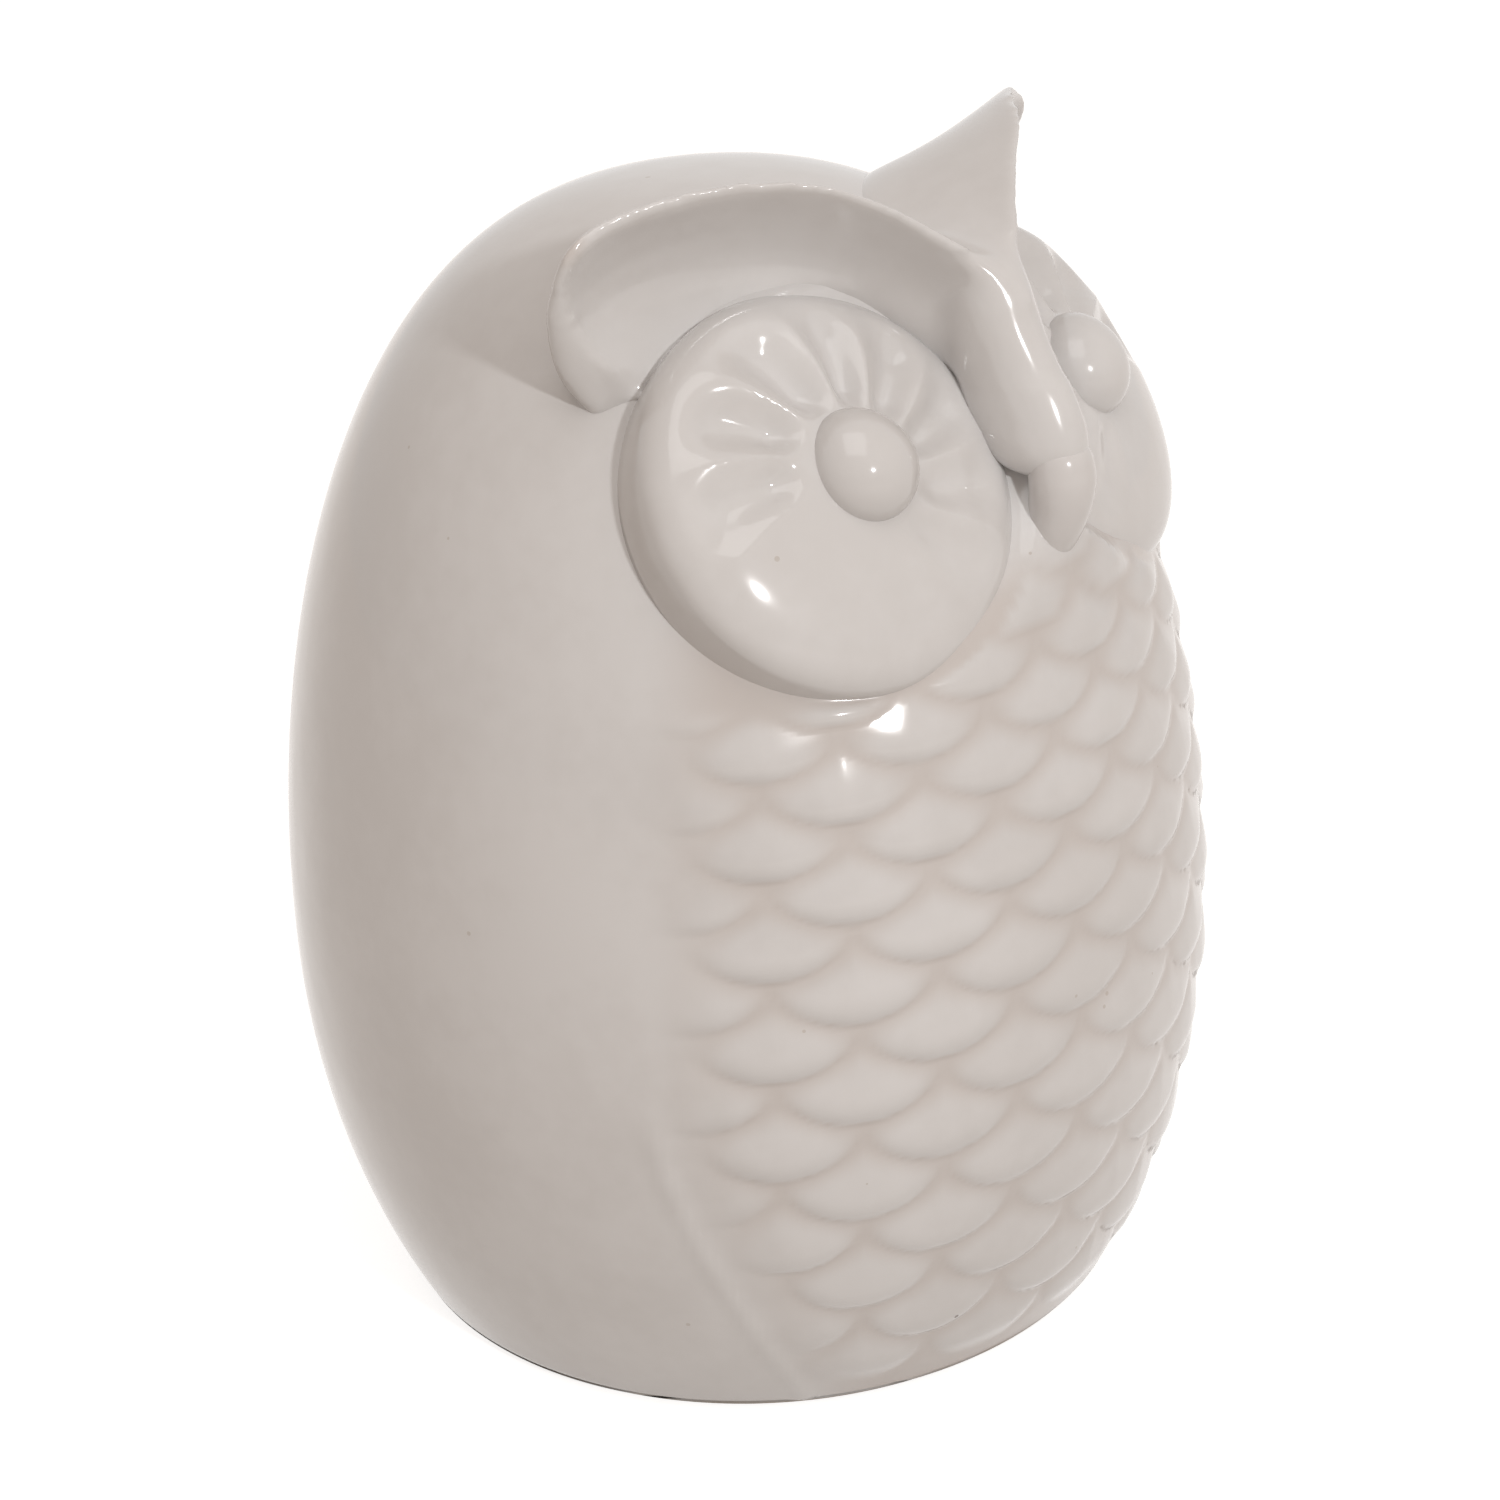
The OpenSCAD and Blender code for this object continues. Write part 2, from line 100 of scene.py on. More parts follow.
# The courses of feathers, with bearings in degrees from the front and heights in millimetres.
# Course 1 is the first whole one; -1 and 0 are short ones between the discs, under the beak.
feather_height = 1.3 * mm
feather_lip = 4.2 * mm
feather_taper = 0.9
feather_rounding = 0.35
full_feather = 9
shortest_feather = 0.5
column_step = 9.6
top_row, bottom_row = -1, 17
row_one_height = 124
row_step = 6.3
row_growth = 0.22

# The breast that carries them: it narrows to the foot, and its neckline is highest in front
breast_bearing = 62
breast_narrowing = 16
breast_shoulder = 59
breast_foot = 4
breast_foot_fade = 8
breast_side_fade = 12
neckline_height = 122
neckline_slope = 0.6
neckline_bearing = 34
neckline_fade = 4
border_height = 0.45 * mm
border_width = 4 / 3
border_top = 66
border_fade = 12


def row_height(row):
    """Height of a course at the middle of its feathers' lower edges."""
    return row_one_height - row_step * (row - 1) - row_growth / 2 * (row - 1) ** 2


def lower_edge(row, bearing):
    """Height of the scalloped lower edge of a course, the same without its cusps, and the place
    across its feather."""
    offset = 1 if row % 2 else 0
    columns = (bearing / column_step - offset) / 2
    across = 2 * (columns - round(columns))
    step = row_height(row) - row_height(row + 1)
    rise = 1 - sqrt(max(0, 1 - across * across))
    return row_height(row) + step * rise, row_height(row) + step * (rise - rise * rise / 2), across


def border_bearing(z):
    """Bearing of the faint raised border of the breast at a height."""
    below = max(0, breast_shoulder - z) / (breast_shoulder - breast_foot)
    return breast_bearing - breast_narrowing * below ** 1.35


def feather_relief(bearing, z):
    """Height of the carving, in metres, at a bearing in degrees and a height in millimetres."""
    border = border_bearing(z)
    side = smooth((border - abs(bearing)) / breast_side_fade)
    neckline = neckline_height + neckline_slope * max(0, neckline_bearing - abs(bearing))
    top = smooth((neckline - z) / neckline_fade)
    relief = 0
    if side * top > 0 and z > breast_foot:
        above = row_height(top_row - 1) + row_step
        for row in range(top_row, bottom_row + 1):
            edge, blunt_edge, across = lower_edge(row, bearing)
            if z >= edge:
                length = max(shortest_feather, above - edge)
                to_root = min(1, (z - edge) / length)
                lip = min(1, (z - edge) * mm / feather_lip)
                relief = feather_height * (1 - (1 - lip) ** 2) ** 0.6
                relief *= 1 - feather_taper * to_root ** 1.5
                relief *= (1 - feather_rounding * across * across) * min(1, length / full_feather)
                break
            above = blunt_edge
    off_border = (abs(bearing) - border) / border_width
    ridge = border_height * exp(-off_border ** 2) * smooth((border_top - z) / border_fade)
    return relief * side * top * smooth((z - breast_foot) / breast_foot_fade) + ridge


def turned(points, columns, centre=(0, 0, 0)):
    """A closed form turned about an upright axis from the points of one side of its outline."""
    mesh = bmesh.new()
    line = [mesh.verts.new(point) for point in points]
    edges = [mesh.edges.new(pair) for pair in zip(line, line[1:])]
    bmesh.ops.spin(mesh, geom=line + edges, cent=centre, axis=(0, 0, 1),
                   angle=2 * pi, steps=columns, use_merge=True)
    bmesh.ops.remove_doubles(mesh, verts=mesh.verts, dist=0.001 * mm)
    return mesh


# The outline from the vent hole over the foot, belly and breast to the crown
foot_rows, breast_rows, crown_rows = 80, 88, 66
body_columns = 360
outline = [(0, vent_depth), (vent_radius, vent_depth), (vent_radius, foot_recess)]
outline += [(foot_ring_inner - recess_slope, foot_recess), (foot_ring_inner, 0)]
outline += [(foot_ring_outer + foot_corner * sin(radians(a)), foot_corner * (1 - cos(radians(a))))
            for a in range(0, 80, 12)]
foot_angle = asin((belly_height - foot_corner_top) / foot_length)
outline += [(belly_radius * cos(a), belly_height - foot_length * sin(a))
            for a in (foot_angle * i / foot_rows for i in range(foot_rows, 0, -1))]
breast_length = row_one_height * mm - belly_height
outline += [(body_radius(z), z)
            for z in (belly_height + breast_length * i / breast_rows for i in range(breast_rows))]
crown_angle = asin((breast_length / crown_length) ** (crown_rise_power / 2))
outline += [(belly_radius * cos(a) ** (2 / crown_round_power),
             belly_height + crown_length * sin(a) ** (2 / crown_rise_power))
            for a in (crown_angle + (pi / 2 - crown_angle) * i / crown_rows for i in range(crown_rows))]
outline += [(0, crown_height)]
body_mesh = turned([(0, axis_y + r, z) for r, z in outline], body_columns, (0, axis_y, 0))

# Beside each disc the body is sunk behind a limit, so that the disc's rim stands clear of it
sink_back = -20 * mm
sink_reach = 9 * mm
sink_clearance = 0.3 * mm
sink_slope, sink_slope_behind = 1.3, 0.3
sink_softness = 1.1 * mm
relief_start = 1.2 * mm


def sink_depth(gap):
    """How far a point goes back that stands a gap in front of the limit, with a soft start."""
    if gap > sink_softness:
        return gap
    return max(0, gap + sink_softness) ** 2 / (4 * sink_softness)


# The carving: the columns of points are drawn to the front, sunk round the discs and raised into
# feathers, and a float attribute keeps where painted shade darkens the low creases between them
front_crowding = 0.45
base_inset = 0.5 * mm
# The painted crease shade fades out towards this height
crease_shade_top = 136 * mm
crease_shade_fade = 8 * mm
crease_shade_and_wear = body_mesh.verts.layers.float.new("crease_shade_and_wear")
for vert in body_mesh.verts:
    z = vert.co.z
    radius = hypot(vert.co.x, vert.co.y - axis_y)
    if z < foot_corner or radius < body_radius(z) - base_inset:
        continue
    bearing = atan2(vert.co.x, -(vert.co.y - axis_y))
    bearing -= front_crowding * sin(bearing)
    vert.co.x, vert.co.y = radius * sin(bearing), axis_y - radius * cos(bearing)
    across, up, out = in_eye(vert.co)
    away = hypot(across, up) - disc_radius
    beside = out > sink_back and away < sink_reach
    if beside:
        limit = (sink_slope if away > 0 else sink_slope_behind) * away - sink_clearance
        outward = Vector((eye_out.x if vert.co.x > 0 else -eye_out.x, eye_out.y, eye_out.z))
        vert.co -= outward * sink_depth(out - limit)
    relief = feather_relief(degrees(bearing), z / mm)
    if beside:
        relief *= smooth(away / relief_start)
    vert.co += body_normal(bearing, z) * relief
    # Painted shade: where the relief is low, in the creases between feathers, the glaze is painted darker
    inside = border_bearing(z / mm) - abs(degrees(bearing))
    feathered = smooth(inside / breast_side_fade) * smooth((crease_shade_top - z) / crease_shade_fade)
    vert[crease_shade_and_wear] = feathered * (1 - smooth(relief / (0.5 * feather_height)))
bmesh.ops.recalc_face_normals(body_mesh, faces=body_mesh.faces)


def finished_piece(mesh, name, material):
    """The object made of a bmesh, smooth-shaded and riding on the one body of the owl."""
    data = bpy.data.meshes.new(name)
    mesh.to_mesh(data)
    mesh.free()
    data.materials.append(material)
    data.shade_smooth()
    piece = bpy.data.objects.new(name, data)
    bpy.context.scene.collection.objects.link(piece)
    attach(piece, "root")
    return piece


def node_at(tree, kind, x, y, **values):
    node = tree.nodes.new(kind)
    node.location = (x, y)
    for name, value in values.items():
        setattr(node, name, value)
    return node


def new_group(name, inputs, outputs):
    """An empty shader node group with its sockets, and the nodes at its two ends."""
    group = bpy.data.node_groups.new(name, "ShaderNodeTree")
    for title, kind, value in inputs:
        group.interface.new_socket(title, in_out="INPUT", socket_type=kind).default_value = value
    for title, kind in outputs:
        group.interface.new_socket(title, in_out="OUTPUT", socket_type=kind)
    return group, node_at(group, "NodeGroupInput", -1200, 0), node_at(group, "NodeGroupOutput", 900, 0)


def mix_colour(tree, x, y, fac, low, high):
    """A colour between low and high, each of them, and fac, a value or another node's output."""
    node = node_at(tree, "ShaderNodeMix", x, y, data_type="RGBA")
    for socket, value in ((node.inputs[0], fac), (node.inputs[6], low), (node.inputs[7], high)):
        if isinstance(value, (int, float, tuple)):
            socket.default_value = value
        else:
            tree.links.new(value, socket)
    return node.outputs[2]


def calculate(tree, x, y, operation, *values, clamp=False):
    """The result of one operation on values or other nodes' outputs."""
    node = node_at(tree, "ShaderNodeMath", x, y, operation=operation, use_clamp=clamp)
    for socket, value in zip(node.inputs, values):
        if isinstance(value, (int, float)):
            socket.default_value = value
        else:
            tree.links.new(value, socket)
    return node.outputs[0]


def between(tree, x, y, value, low, high, to_low=0, to_high=1):
    """A soft step from to_low to to_high as a value goes from low to high."""
    node = node_at(tree, "ShaderNodeMapRange", x, y, interpolation_type="SMOOTHSTEP")
    tree.links.new(value, node.inputs[0])
    for socket, number in zip(node.inputs[1:5], (low, high, to_low, to_high)):
        socket.default_value = number
    return node.outputs[0]


def glaze_cloud_shade_and_wave():
    """Cloudy glaze: how thick it lies, painted crease shade and ear-tip wear, and faint waves in its
    surface.
    """
    group, start, end = new_group(
        "glaze_cloud_shade_and_wave",
        [("Cloud Size", "NodeSocketFloat", 30), ("Shade And Wear Strength", "NodeSocketFloat", 1)],
        [("Cloud", "NodeSocketFloat"), ("Shade And Wear", "NodeSocketFloat"), ("Wave", "NodeSocketFloat")])
    place = node_at(group, "ShaderNodeTexCoord", -1000, 0)
    cloud_share = 0.75
    cloud = node_at(group, "ShaderNodeTexNoise", -700, 200)
    cloud.inputs["Detail"].default_value = 3
    group.links.new(place.outputs["Object"], cloud.inputs["Vector"])
    group.links.new(start.outputs["Cloud Size"], cloud.inputs["Scale"])
    fine = node_at(group, "ShaderNodeTexNoise", -700, -50)
    fine.inputs["Scale"].default_value = 260
    fine.inputs["Detail"].default_value = 4
    group.links.new(place.outputs["Object"], fine.inputs["Vector"])
    broad = calculate(group, -550, 200, "MULTIPLY", cloud.outputs[0], cloud_share)
    narrow = calculate(group, -550, 0, "MULTIPLY", fine.outputs[0], 1 - cloud_share)
    both = calculate(group, -400, 100, "ADD", broad, narrow)
    group.links.new(between(group, -200, 100, both, 0.35, 0.65), end.inputs["Cloud"])
    # Painted shade of the feather creases and the wear of the ear tips both come from one attribute
    shade_and_wear = node_at(group, "ShaderNodeAttribute", -700, -300, attribute_name="crease_shade_and_wear")
    depth = calculate(group, -400, -300, "MULTIPLY", shade_and_wear.outputs["Fac"], start.outputs["Shade And Wear Strength"],
                      clamp=True)
    group.links.new(depth, end.inputs["Shade And Wear"])
    wave = node_at(group, "ShaderNodeTexNoise", -700, -550)
    wave.inputs["Scale"].default_value = 75
    wave.inputs["Detail"].default_value = 1
    group.links.new(place.outputs["Object"], wave.inputs["Vector"])
    group.links.new(wave.outputs[0], end.inputs["Wave"])
    return group


def kiln_specks():
    """Small iron spots that burn through the glaze: a few are dark, most are faint."""
    group, start, end = new_group(
        "kiln_specks",
        [("Density", "NodeSocketFloat", 70), ("Radius", "NodeSocketFloat", 0.045)],
        [("Dark", "NodeSocketFloat"), ("Faint", "NodeSocketFloat")])
    place = node_at(group, "ShaderNodeTexCoord", -1000, 0)
    for y, title, density, left_out in ((200, "Dark", 1, 0.9), (-200, "Faint", 2.2, 0.78)):
        cells = node_at(group, "ShaderNodeTexVoronoi", -700, y)
        group.links.new(place.outputs["Object"], cells.inputs["Vector"])
        scale = calculate(group, -850, y, "MULTIPLY", start.outputs["Density"], density)
        group.links.new(scale, cells.inputs["Scale"])
        chosen = node_at(group, "ShaderNodeSeparateColor", -500, y + 80)
        group.links.new(cells.outputs["Color"], chosen.inputs[0])
        some = calculate(group, -300, y + 80, "GREATER_THAN", chosen.outputs[0], left_out)
        varied = calculate(group, -650, y - 120, "ADD", chosen.outputs[1], 0.5)
        size = calculate(group, -500, y - 100, "MULTIPLY", start.outputs["Radius"], varied)
        near = calculate(group, -300, y - 100, "LESS_THAN", cells.outputs["Distance"], size)
        group.links.new(calculate(group, 0, y, "MULTIPLY", some, near), end.inputs[title])
    return group


cloudy = glaze_cloud_shade_and_wave()
specks = kiln_specks()
faint_speck = (0.36, 0.29, 0.22, 1)
dark_speck = (0.12, 0.08, 0.06, 1)
bare_clay = (0.5, 0.43, 0.36, 1)
wiped_height = 1.6 * mm
glazed_height = 2.6 * mm
wiped_wander = 0.8 * mm
bare_roughness = 0.85
ripple_height = 0.4 * mm


def glazed(name, thin, thick, shade_and_wear, roughness):
    """A glossy clear-white glaze over stoneware, from thin to thick, with a deeper colour painted as
    shade in the feather creases and as wear on the ear tips, and wiped off the foot ring."""
    material = bpy.data.materials.new(name)
    material.use_nodes = True
    tree = material.node_tree
    shader = tree.nodes["Principled BSDF"]
    depth = node_at(tree, "ShaderNodeGroup", -1200, 200, node_tree=cloudy)
    spots = node_at(tree, "ShaderNodeGroup", -1200, -100, node_tree=specks)
    colour = mix_colour(tree, -900, 200, depth.outputs["Cloud"], thin, thick)
    # The first tint is painted shade in the feather creases, and wear on the ear tips
    for x, mask, strength, tint in ((-700, depth.outputs["Shade And Wear"], 0.6, shade_and_wear),
                                    (-500, spots.outputs["Faint"], 0.35, faint_speck),
                                    (-300, spots.outputs["Dark"], 0.85, dark_speck)):
        share = calculate(tree, x - 150, 0, "MULTIPLY", mask, strength)
        colour = mix_colour(tree, x, 200, share, colour, tint)
    place = node_at(tree, "ShaderNodeTexCoord", -1400, -400)
    parts = node_at(tree, "ShaderNodeSeparateXYZ", -1200, -400)
    tree.links.new(place.outputs["Object"], parts.inputs[0])
    wander = calculate(tree, -1000, -550, "MULTIPLY", depth.outputs["Cloud"], wiped_wander)
    wavy = calculate(tree, -1000, -400, "ADD", parts.outputs["Z"], wander)
    bare = between(tree, -800, -400, wavy, wiped_height, glazed_height, 1, 0)
    tree.links.new(mix_colour(tree, -100, 200, bare, colour, bare_clay), shader.inputs["Base Color"])
    duller = calculate(tree, -700, -200, "MULTIPLY", depth.outputs["Cloud"], 0.06)
    shine = calculate(tree, -500, -200, "ADD", duller, roughness)
    rough = calculate(tree, -500, -350, "MULTIPLY", bare, bare_roughness)
    tree.links.new(calculate(tree, -300, -200, "MAXIMUM", shine, rough), shader.inputs["Roughness"])
    shader.inputs["IOR"].default_value = 1.5
    ripple = node_at(tree, "ShaderNodeBump", -300, -400)
    ripple.inputs["Strength"].default_value = 0.5
    ripple.inputs["Distance"].default_value = ripple_height
    tree.links.new(depth.outputs["Wave"], ripple.inputs["Height"])
    tree.links.new(ripple.outputs["Normal"], shader.inputs["Normal"])
    return material


# Its darker warm tint is painted shade for the feather creases and the colour of the worn ear tips
glaze = glazed("white_glaze", thin=(0.6, 0.588, 0.582, 1), thick=(0.64, 0.632, 0.63, 1),
               shade_and_wear=(0.51, 0.458, 0.425, 1), roughness=0.1)

body = finished_piece(body_mesh, "body_casting", glaze)
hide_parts("body_shell", *[f"feather_row_{row:02d}" for row in range(1, 16)])

# ---- Eye discs ----
# A thick round disc of the same clay round each eye, set on a flat seat in the head. Its face
# is pressed into flutes that run from a collar out to a soft, tyre-like rim.
collar_radius = 9.4 * mm
rim_start = 20 * mm
rim_plane = -5.4 * mm
face_swell = 9 * mm
face_roundness = 2.1
edge_fullness = 4.4
fullness_lost = 2
soft_side = -50
wall_depth = 9 * mm
wall_draft = 0.9 * mm
disc_width = 0.99

# The flutes lie between these ridges, at angles in degrees from the outer side over the top, and
# swirl by some degrees for each 10 mm outwards
ridge_angles = (-12, 22, 56, 92, 120, 150, 182, 216, 245)
dent_depths = (0.7, 1, 1, 0.9, 0.8, 0.8, 0.5, 0.3)
flute_deepest = 3.1 * mm
flute_start, flute_run_in = 8 * mm, 5.5 * mm
flute_end, flute_run_out = 27.4 * mm, 7.5 * mm
flute_swirl = 6
flute_middle = 17 * mm
crisp_share, soft_share = 0.2, 0.8


def flute_depth(rho, angle):
    """Depth of the fluting at a distance and an angle in degrees, both in the plane of a disc."""
    swirl = angle + flute_swirl * (rho - flute_middle) / (10 * mm)
    for low, high, depth in zip(ridge_angles, ridge_angles[1:], dent_depths):
        if low <= swirl <= high:
            across = 2 * (swirl - low) / (high - low) - 1
            bowl = crisp_share * sqrt(1 - across * across) + soft_share * cos(pi / 2 * across) ** 2
            along = smooth((rho - flute_start) / flute_run_in) * smooth((flute_end - rho) / flute_run_out)
            return flute_deepest * bowl * along * depth
    return 0


def disc_face(rho, angle):
    """Height of the face over the eye's own plane: it falls off sooner at its bottom and outer side."""
    softer = smooth((cos(radians(angle - soft_side)) + 0.35) / 1.2)
    fullness = edge_fullness - fullness_lost * softer
    return rim_plane + face_swell * max(0, 1 - (rho / disc_radius) ** fullness) ** (1 / face_roundness)


def set_in_eye(mesh, place, side):
    """Moves a form made round the origin to its place at the left eye, or mirrored at the right."""
    turn = Matrix((eye_side, eye_up, eye_out)).transposed().to_4x4()
    turn.translation = place
    bmesh.ops.transform(mesh, matrix=Matrix.Diagonal((side, 1, 1, 1)) @ turn, verts=mesh.verts)
    bmesh.ops.recalc_face_normals(mesh, faces=mesh.faces)


def make_eye_disc(name, node, side):
    """One disc in place of a solid; side is -1 for the owl's right eye and 1 for its left."""
    collar_rows, flute_rows, rim_rows = 6, 26, 30
    rows = [collar_radius * 0.98 * i / collar_rows for i in range(collar_rows + 1)]
    rows += [collar_radius + (rim_start - collar_radius) * i / flute_rows for i in range(flute_rows + 1)]
    rim_width = disc_radius - rim_start
    rows += [rim_start + rim_width * sin(pi / 2 * i / rim_rows) for i in range(1, rim_rows + 1)]
    outline = [(rho, disc_face(rho, soft_side + 180)) for rho in rows]
    outline += [(disc_radius - wall_draft * t * t, rim_plane - wall_depth * t)
                for t in (0.2, 0.4, 0.6, 0.8, 1)]
    outline += [(0, rim_plane - wall_depth)]
    mesh = turned([(r, 0, w) for r, w in outline], 300)
    for vert in mesh.verts:
        rho = hypot(vert.co.x, vert.co.y)
        if vert.co.z > rim_plane + 0.1 * mm:
            angle = degrees(atan2(vert.co.y, vert.co.x)) % 360
            angle = angle if angle < 300 else angle - 360
            vert.co.z = disc_face(rho, angle) - flute_depth(rho, angle)
        vert.co.x *= disc_width
    set_in_eye(mesh, eye_centre, side)
    disc = finished_piece(mesh, name, glaze)
    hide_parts(node)


make_eye_disc("right_fluted_disc", "right_eye_disc", -1)
make_eye_disc("left_fluted_disc", "left_eye_disc", 1)

# ---- Pupils ----
# A small dome luted to the collar in the middle of each disc, a little above its centre.
pupil_radius = 7.9 * mm
pupil_height = 6.8 * mm
pupil_sunk = 1.2 * mm
pupil_drawn = 0.12
pupil_drawn_to = radians(75)
pupil_place = eye_centre - 1.6 * mm * eye_side + 0.4 * mm * eye_up + 2.9 * mm * eye_out


def make_pupil(name, node, side):
    """One pupil in place of a solid; side is -1 for the owl's right eye and 1 for its left."""
    dome_rows = 16
    angles = [pi / 2 * i / dome_rows for i in range(1, dome_rows + 1)]
    outline = [(0, pupil_height)]
    outline += [(pupil_radius * sin(a), pupil_height * cos(a)) for a in angles]
    outline += [(pupil_radius * 0.97, -pupil_sunk), (0, -pupil_sunk)]
    mesh = turned([(r, 0, w) for r, w in outline], 96)
    for vert in mesh.verts:
        drawn = max(0, cos(atan2(vert.co.y, vert.co.x) - pupil_drawn_to))
        vert.co.xy *= 1 + pupil_drawn * drawn ** 3
    set_in_eye(mesh, pupil_place, side)
    pupil = finished_piece(mesh, name, glaze)
    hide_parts(node)


make_pupil("right_pupil_dome", "right_pupil", -1)
make_pupil("left_pupil_dome", "left_pupil", 1)

# ---- Brows ----
# Two ridges of clay that rise from the bridge of the beak, sweep over the eyes with a deep
# cove under them and end in pointed ear tufts. They are one modelled strip, luted on the head.
# The curves give x, y and z in millimetres from the body's axis, the back curve only x and y, on
# the head itself. A place along them is a station, counted in their points from 0 at the bridge.
ridge_curve = [(0, -55.4, 172.2), (3.8, -53.9, 173.7), (9, -49.5, 178.6), (16, -45, 183.9),
               (24, -40.2, 187.8), (32, -33.6, 189.1), (40.5, -27.4, 188.3), (49, -22.4, 186.2),
               (54.6, -20.2, 182.7), (54.4, -16.5, 175.8), (53, -14.5, 169.3), (49.8, -13.8, 162.3),
               (45.5, -15.5, 156)]
cove_curve = [(0, -58.2, 166), (2.2, -51, 160.5), (5.5, -44.7, 165), (10.5, -37.9, 169.7),
              (17, -32.4, 171.8), (24.5, -27.8, 171.4), (31, -24.2, 169.5), (37, -22.6, 165.9),
              (41.2, -22.6, 161.8), (41.9, -22, 161.2), (42.6, -21.2, 160.4), (43.9, -19.6, 159),
              (45.6, -17, 157.2)]
back_curve = [(0, -28), (4, -25), (9, -21), (15, -17), (21, -13.5), (27, -11), (31.5, -9.3), (35, -8.5),
              (37.5, -8.3), (40, -8.5), (42.6, -9.2), (44.8, -10.8), (45.4, -14)]
lip_size, lip_growth = 3.4, 1.6
back_swell, back_swell_loss, least_swell = 2.4, 0.8, 0.2
cove_hollow, tail_hollow = 0.72, 0.12
ear_station, tail_station, end_station = 8, 9.8, 10.5
disc_wall_at = -5 * mm
disc_wall_lean = 0.06
stations_per_span = 4


def eased(a, b, c, d, f):
    """Point of a smooth curve from b to c, with a before them and d after, f from 0 to 1."""
    return 0.5 * (2 * b + (c - a) * f + (2 * a - 5 * b + 4 * c - d) * f ** 2
                  + (3 * b - a - 3 * c + d) * f ** 3)


def on_curve(points, t):
    """Point of a smooth curve at station t; it starts square to the middle plane of the owl."""
    i = min(int(t), len(points) - 2)
    mirrored = [Vector((-points[1][0], *points[1][1:]))]
    p = mirrored + [Vector(q) for q in points] + [2 * Vector(points[-1]) - Vector(points[-2])]
    return eased(*p[i:i + 4], t - i)


def head_height(x, y):
    """Height of the head's surface over a place, all in millimetres."""
    r = min(hypot(x, y) * mm / belly_radius, 1)
    return (belly_height + crown_length * (1 - r ** crown_round_power) ** (1 / crown_rise_power)) / mm


def into_head(p, depth):
    """The point of the head's surface in line with p from the middle of the head, sunk by a depth."""
    middle = Vector((0, 0, 120))
    low, high = 0.2, 1.8
    for _ in range(24):
        m = (low + high) / 2
        q = middle + m * (p - middle)
        outside = q.z * mm > crown_height or hypot(q.x, q.y) * mm > body_radius(q.z * mm)
        low, high = (low, m) if outside else (m, high)
    return middle + low * (1 - depth / (p - middle).length) * (p - middle)


def arc(a, b, c, f):
    """Point of a plain arc from a to c that leans towards b, f from 0 to 1."""
    return (1 - f) ** 2 * a + 2 * f * (1 - f) * b + f * f * c


def brow_section(t):
    """Closed section of a brow at a station: up its back, over the lip, down the cove and back
    inside the head."""
    ridge = on_curve(ridge_curve, t)
    foot = on_curve(cove_curve, t)
    cove = foot.lerp(into_head(foot, 0), min(1, t))
    plan = on_curve([(x, y, 0) for x, y in back_curve], t)
    back = Vector((plan.x, plan.y, head_height(plan.x, plan.y)))
    up = (back - ridge).normalized()
    down = (cove - ridge).normalized()
    # the lip is fullest at the bridge, and the swell of the back fades towards the ear
    size = lip_size + lip_growth * max(0, 2 - t)
    lip_back = ridge + size * (3 * up - down) / 4
    lip_front = ridge + size * (3 * down - up) / 4
    lip = 2 * ridge - (lip_back + lip_front) / 2
    swell = max(least_swell, back_swell - back_swell_loss * max(0, t - 3))
    belly = (back + lip_back) / 2 + swell * (ridge - into_head(ridge, 0)).normalized()
    # the cove is hollowed back along the plane of the disc, and shallow behind the ear
    reach = ridge - cove
    share = cove_hollow * (1 - smooth((t - ear_station) / 1.6))
    share += tail_hollow * smooth((t - tail_station) / 0.8)
    hollow = cove + share * (reach - eye_out * reach.dot(eye_out))
    section = [into_head(back, 2.5), into_head(back, 0.2)]
    section += [arc(back, belly, lip_back, f) for f in (0.15, 0.35, 0.55, 0.8)]
    section += [arc(lip_back, lip, lip_front, f) for f in (0, 0.2, 0.4, 0.6, 0.8, 1)]
    section += [arc(lip_front, hollow, cove, f) for f in (0.15, 0.35, 0.55, 0.75, 0.9)]
    # under the cove the clay runs on into the wall of the disc
    across, rise, out = in_eye(Vector((cove.x * mm, cove.y * mm + axis_y, cove.z * mm)))
    inward = (eye_side * across + eye_up * rise) * disc_wall_lean
    deeper = cove + (eye_out * (disc_wall_at - out) - inward) / mm
    under = deeper.lerp(into_head(cove, 3), max(0, min(1, t - end_station)))
    section += [cove, cove.lerp(under, 0.5), under, into_head(cove.lerp(back, 0.33), 4),
                into_head(cove.lerp(back, 0.67), 4)]
    return [Vector((p.x * mm, p.y * mm + axis_y, p.z * mm)) for p in section]


def grown_ring(mesh, ring, loop):
    """Extrudes a closed ring of points and its loop of edges, and gives the new ones in order."""
    order = {tuple(v.co): i for i, v in enumerate(ring)}
    grown = bmesh.ops.extrude_edge_only(mesh, edges=loop)["geom"]
    fresh = [g for g in grown if isinstance(g, bmesh.types.BMVert)]
    new_ring = [None] * len(ring)
    for v in fresh:
        new_ring[order[tuple(v.co)]] = v
    new_loop = [g for g in grown if isinstance(g, bmesh.types.BMEdge) and all(v in fresh for v in g.verts)]
    return new_ring, new_loop


